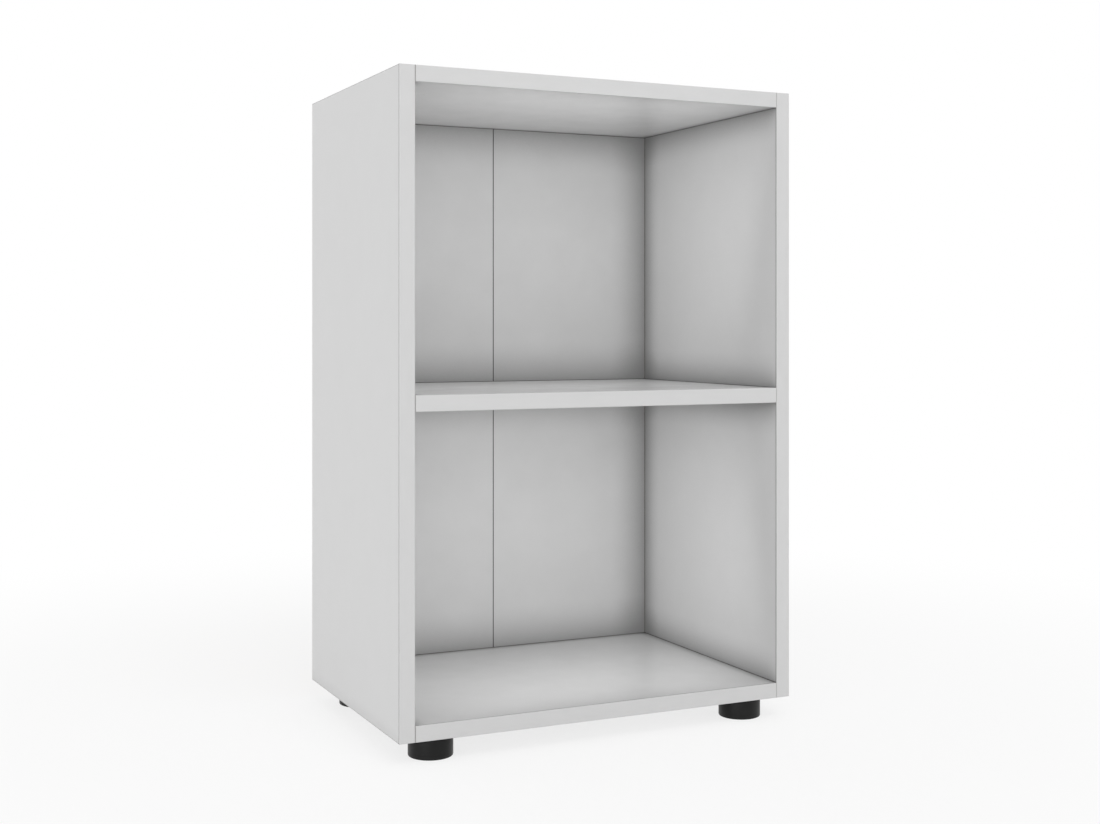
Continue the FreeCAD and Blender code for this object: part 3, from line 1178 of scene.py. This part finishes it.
    def add_thread(self, shape: Mesh, length: float) -> None:
        """Adds the thread, from inside the head to the stud's end.

        Args:
            shape: the empty shape.
            length: the stud's whole length in metres.
        """
        pitch = self.thread_pitch * MM
        root = self.thread_root * MM
        crest = self.thread_radius * MM
        flank = (
            (root, 0.0),
            (root, self.root_flat),
            (crest, 0.5 - self.crest_flat),
            (crest, 0.5 + self.crest_flat),
            (root, 1.0 - self.root_flat),
            (root, 1.0),
        )
        points = [shape.verts.new((across, 0.0, along * pitch)) for across, along in flank]
        edges = [shape.edges.new(pair) for pair in zip(points, points[1:])]

        # The spin climbs a pitch in its turn, so its ends don't meet and are not merged. The turn is then
        # doubled until it is longer than the stud, with a spare turn at each end.
        bmesh.ops.spin(
            shape, geom=points + edges, cent=(0, 0, 0), axis=(0, 0, 1), angle=math.tau,
            steps=self.thread_steps, dvec=(0, 0, pitch / self.thread_steps), use_merge=False,
            use_duplicate=False)
        turns = 1
        while (turns - 2) * pitch < length:
            copy = bmesh.ops.duplicate(shape, geom=shape.verts[:] + shape.edges[:] + shape.faces[:])
            bmesh.ops.translate(shape, vec=(0, 0, turns * pitch), verts=self.verts_in(copy["geom"]))
            turns *= 2
        bmesh.ops.remove_doubles(shape, verts=shape.verts, dist=SAME_POINT * MM)
        bmesh.ops.translate(shape, vec=(0, 0, -pitch), verts=shape.verts)
        for level, outward in ((self.head_height / 2 * MM, -1.0), (length, 1.0)):
            bmesh.ops.bisect_plane(
                shape, geom=shape.verts[:] + shape.edges[:] + shape.faces[:], dist=CUT_SLACK * MM,
                plane_co=(0, 0, level), plane_no=(0, 0, outward), clear_outer=True)
        bmesh.ops.holes_fill(shape, edges=[edge for edge in shape.edges if edge.is_boundary], sides=0)

    def add_head(self, shape: Mesh) -> None:
        """Adds the stud's round head, with broken edges.

        Args:
            shape: the thread, whose lower end stands inside the head.
        """
        height = self.head_height * MM
        radius = self.head_radius * MM
        before = set(shape.verts)
        bmesh.ops.create_cone(
            shape, cap_ends=True, segments=self.head_sides, radius1=radius, radius2=radius, depth=height,
            matrix=Matrix.Translation((0, 0, height / 2)))
        fresh = set(shape.verts) - before
        rims = [
            edge for edge in shape.edges
            if set(edge.verts) <= fresh and abs(edge.verts[0].co.z - edge.verts[1].co.z) < SAME_POINT * MM]
        bmesh.ops.bevel(
            shape, geom=rims, offset=self.head_round * MM, segments=self.head_steps, profile=0.5,
            affect="EDGES", material=-1)


# Studio


@dataclass(kw_only=True)
class Lamp:
    """A soft box that looks at a point. Sizes in metres, power in watts, spread in degrees."""

    name: str
    place: Point
    aim: Point
    width: float
    height: float
    power: float
    spread: float = 180.0
    mirrored: bool = True

    def build(self) -> None:
        """Makes the area lamp."""
        light = bpy.data.lights.new(self.name, "AREA")
        light.shape = "RECTANGLE"
        light.size = self.width
        light.size_y = self.height
        light.energy = self.power
        light.spread = math.radians(self.spread)
        lamp = bpy.data.objects.new(self.name, light)
        lamp.location = self.place
        lamp.rotation_euler = (Vector(self.aim) - Vector(self.place)).to_track_quat("-Z", "Y").to_euler()
        lamp.visible_camera = False
        lamp.visible_glossy = self.mirrored
        bpy.context.scene.collection.objects.link(lamp)


@dataclass
class Studio:
    """White floor, white surround, soft light and the camera at the photo's place. Lengths in metres."""

    plan: BoardPlan
    # The surround's strength for light on the shelf. It looks white whatever this is.
    dome: float = 0.67
    floor_colour: str = "#FAFAFA"
    floor_half: float = 15.0
    # The floor shows this share of plain white near the shelf, and all white beyond the shadow's reach.
    floor_glow: float = 0.78
    shadow_reach: tuple[float, float] = (0.4, 1.5)
    # The camera's place, heading in degrees, lens and sensor in millimetres, and shift, fitted to the edges.
    eye: Point = (-0.785912, -1.685578, 0.472123)
    heading: float = -25.2016
    lens: float = 49.40
    sensor: float = 36.0
    rise: float = -0.079547
    # Where the fills stand from front to back, in the compartments' mouths.
    fill_front: float = -0.16

    def build(self) -> None:
        """Sets up everything round the shelf."""
        bpy.context.scene.view_settings.view_transform = "Standard"
        self.add_camera()
        self.add_surround()
        self.add_floor()
        for lamp in self.lamps():
            lamp.build()

    def lamps(self) -> list[Lamp]:
        """Lists two soft boxes in front of the shelf, and a fill in the mouth of each compartment.

        The fills stand for light that comes back into the compartments, and no mirror ray sees them.

        Returns:
            The lamps.
        """
        upper, lower = self.plan.compartments()
        fill: dict[str, Any] = {"width": 0.34, "height": 0.24, "spread": 150.0, "mirrored": False}
        return [
            Lamp(
                name="high_front_softbox", place=(0.0, -3.0, 4.0), aim=(0.0, -1.2, 0.0), width=2.0,
                height=2.0, power=43.7),
            Lamp(
                name="left_front_softbox", place=(-5.2, -4.4, 0.6), aim=(0.0, 0.0, 0.4), width=3.2,
                height=3.2, power=114.0),
            Lamp(
                name="upper_compartment_fill", place=(0.0, self.fill_front, upper), aim=(0.0, 1.0, 0.85),
                power=0.24, **fill),
            Lamp(
                name="lower_compartment_fill", place=(0.0, self.fill_front, lower), aim=(0.0, 1.0, 0.057),
                power=0.265, **fill),
        ]

    def add_camera(self) -> None:
        """Makes the camera, level and shifted down as the photograph's uprights ask."""
        data = bpy.data.cameras.new("camera")
        data.lens = self.lens
        data.sensor_width = self.sensor
        data.shift_y = self.rise
        camera = bpy.data.objects.new("camera", data)
        camera.location = self.eye
        camera.rotation_euler = (math.radians(90.0), 0.0, math.radians(self.heading))
        bpy.context.scene.collection.objects.link(camera)
        bpy.context.scene.camera = camera

    @staticmethod
    def seen(tree: Tree) -> Socket:
        """Finds the rays that show the backdrop itself: the camera's, and mirror or glass rays.

        Args:
            tree: the node tree of the world or the floor.

        Returns:
            1 for such a ray, and 0 for one that lights the shelf.
        """
        path = add_node(tree, "ShaderNodeLightPath")
        shiny = add_node(tree, "ShaderNodeMath", {
            0: path.outputs["Is Glossy Ray"],
            1: path.outputs["Is Transmission Ray"],
        }, operation="MAXIMUM")
        either = add_node(tree, "ShaderNodeMath", {
            0: path.outputs["Is Camera Ray"],
            1: shiny.outputs[0],
        }, operation="MAXIMUM")
        return either.outputs[0]

    def add_surround(self) -> None:
        """Makes a world that looks white and lights the shelf evenly."""
        world = bpy.data.worlds.new("surround")
        world.use_nodes = True
        tree = world.node_tree
        tree.nodes.clear()
        strength = add_node(tree, "ShaderNodeMapRange", {
            "Value": self.seen(tree),
            "To Min": self.dome,
            "To Max": 1.0,
        })
        shader = add_node(tree, "ShaderNodeBackground", {
            "Color": WHITE,
            "Strength": strength.outputs[0],
        })
        add_node(tree, "ShaderNodeOutputWorld", {"Surface": shader.outputs[0]})
        bpy.context.scene.world = world

    def add_floor(self) -> None:
        """Makes the floor, a large sheet that is open to a view from below."""
        shape = bmesh.new()
        bmesh.ops.create_grid(shape, x_segments=1, y_segments=1, size=self.floor_half)
        data = bpy.data.meshes.new("floor")
        shape.to_mesh(data)
        shape.free()
        data.materials.append(self.floor_paper())
        floor = bpy.data.objects.new("floor", data)
        bpy.context.scene.collection.objects.link(floor)

    def floor_paper(self) -> Material:
        """Makes the floor's finish: white paper, with a light shadow where the shelf stands.

        Returns:
            The material.
        """
        material = bpy.data.materials.new("floor_paper_white")
        material.use_nodes = True
        tree = material.node_tree
        tree.nodes.clear()
        paper = add_node(tree, "ShaderNodeBsdfDiffuse", {"Color": linear(self.floor_colour)})
        glow = add_node(tree, "ShaderNodeEmission", {"Color": WHITE, "Strength": 1.0})
        reach = add_node(tree, "ShaderNodeVectorMath", {
            0: add_node(tree, "ShaderNodeTexCoord").outputs["Object"],
        }, operation="LENGTH")
        white = add_node(tree, "ShaderNodeMapRange", {
            "Value": reach.outputs["Value"],
            "From Min": self.shadow_reach[0],
            "From Max": self.shadow_reach[1],
            "To Min": self.floor_glow,
            "To Max": 1.0,
        }, interpolation_type="SMOOTHSTEP")
        share = add_node(tree, "ShaderNodeMath", {
            0: self.seen(tree),
            1: white.outputs[0],
        }, operation="MULTIPLY")
        mix = add_node(tree, "ShaderNodeMixShader", {
            0: share.outputs[0],
            1: paper.outputs[0],
            2: glow.outputs[0],
        })
        side = add_node(tree, "ShaderNodeNewGeometry")
        open_below = add_node(tree, "ShaderNodeMixShader", {
            0: side.outputs["Backfacing"],
            1: mix.outputs[0],
            2: add_node(tree, "ShaderNodeBsdfTransparent").outputs[0],
        })
        add_node(tree, "ShaderNodeOutputMaterial", {"Surface": open_below.outputs[0]})
        return material


def main() -> None:
    """Builds the studio and the shelf."""
    logging.basicConfig(level=logging.INFO, format="%(name)s %(message)s")
    plan = BoardPlan.from_frame()
    Studio(plan).build()
    finishes = Finishes(plan)
    Carcass().dress(finishes)
    FoldedBack().dress(finishes)
    JointFittings().dress(finishes)
    for corner in Corner:
        LevellingFoot(corner).build(finishes)


if __name__ == "__main__":
    main()
